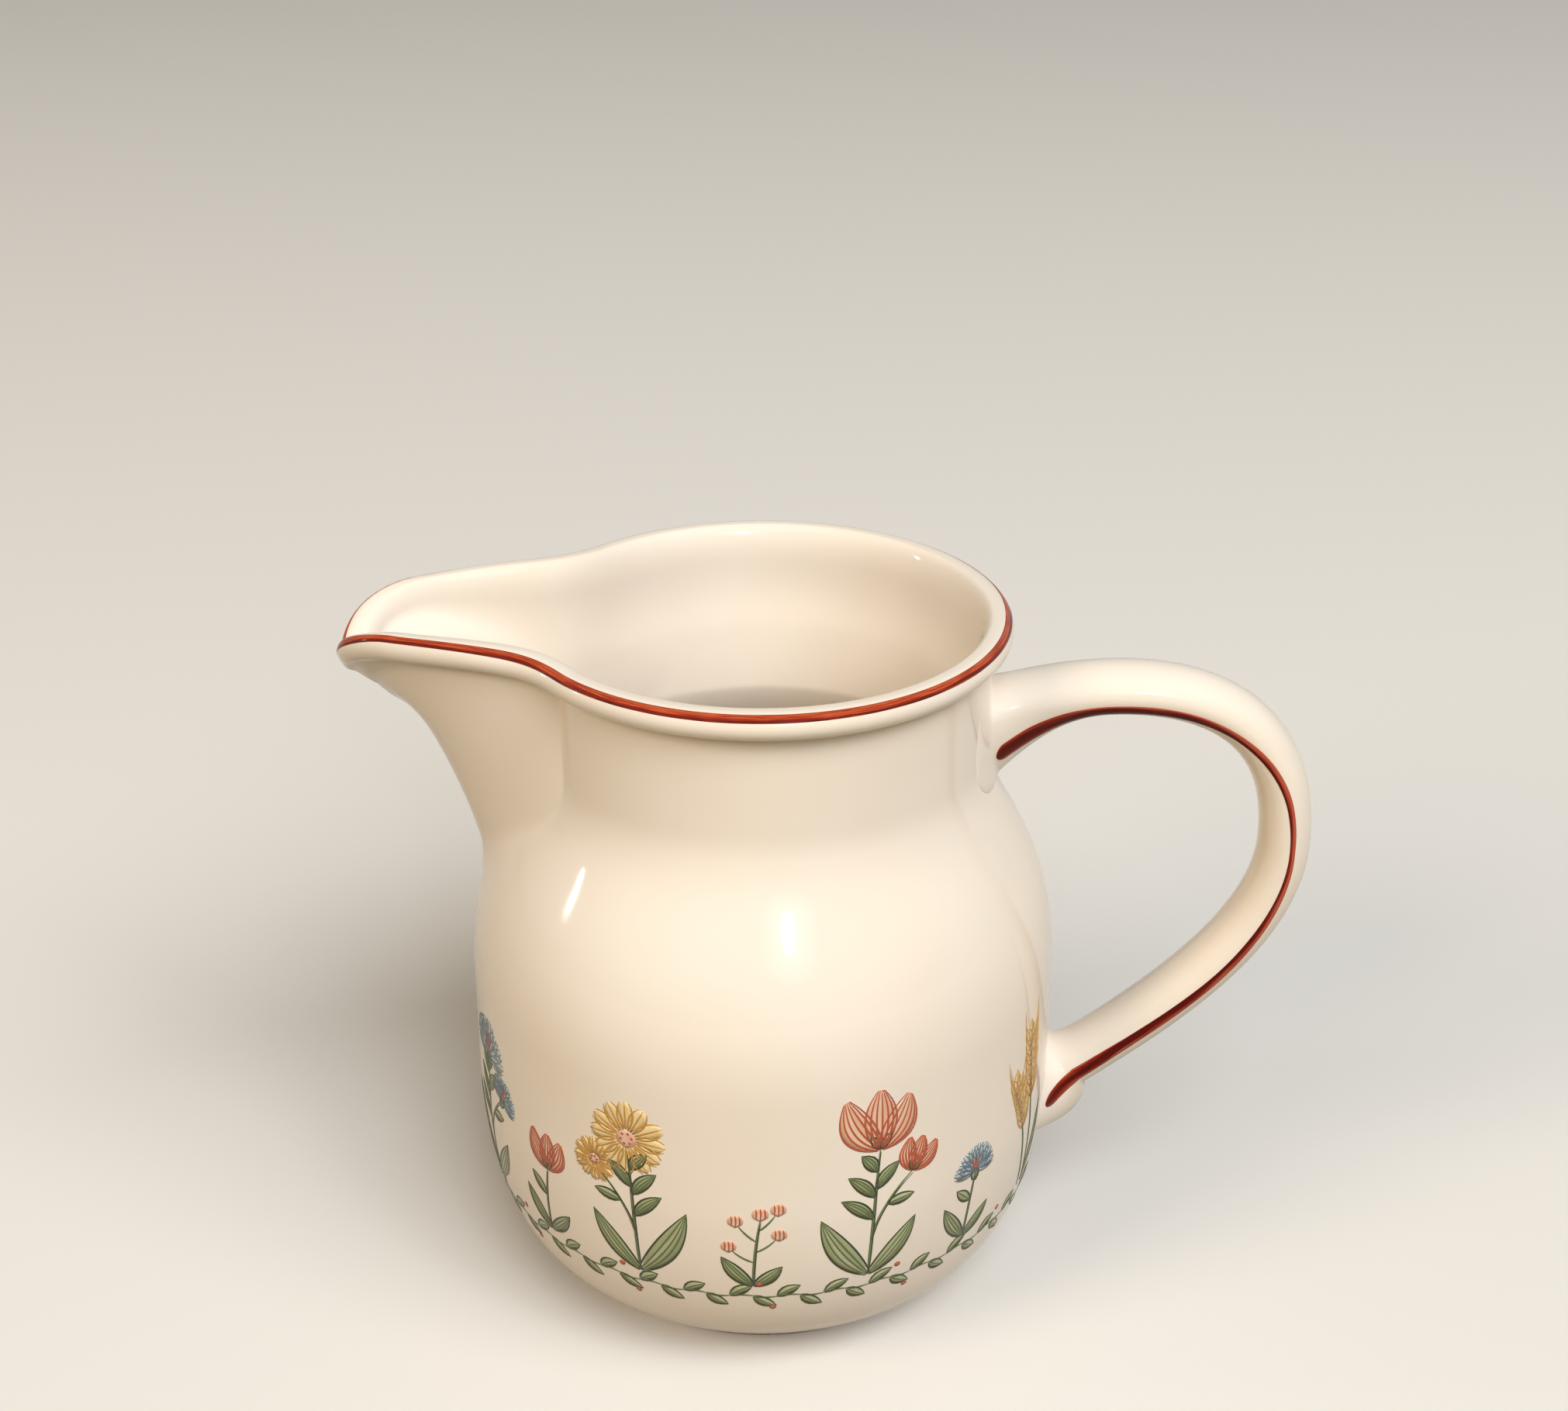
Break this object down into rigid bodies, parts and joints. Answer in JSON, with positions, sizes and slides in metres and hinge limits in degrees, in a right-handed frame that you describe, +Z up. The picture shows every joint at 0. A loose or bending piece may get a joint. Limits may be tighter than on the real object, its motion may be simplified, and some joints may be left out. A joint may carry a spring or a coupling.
{
  "type": "milk jug",
  "caption": "Glazed ceramic milk jug with a round belly, a short neck with a rolled rim, a drawn beak spout and a loop handle, on a plain foot ring.",
  "frame": {"origin": "middle of the jug's box, at the table", "axes": "+Z up, +X from the spout towards the handle, XZ the mirror plane"},
  "size_m": [0.1978, 0.1218, 0.1512],
  "materials": {
    "glaze": "gloss cream glaze",
    "clay": "bare fired clay",
    "slip": "glazed slip",
    "red_brown": "red-brown brush line under gloss glaze"
  },
  "bodies": {
    "root": {"body": "glaze", "foot_ring": "clay", "spout": "glaze", "spout_slip_seam": "slip", "handle": "glaze", "upper_slip_joint": "slip", "lower_slip_joint": "slip", "rim_line": "red_brown", "handle_line_near": "red_brown", "handle_line_far": "red_brown"}
  },
  "joints": []
}
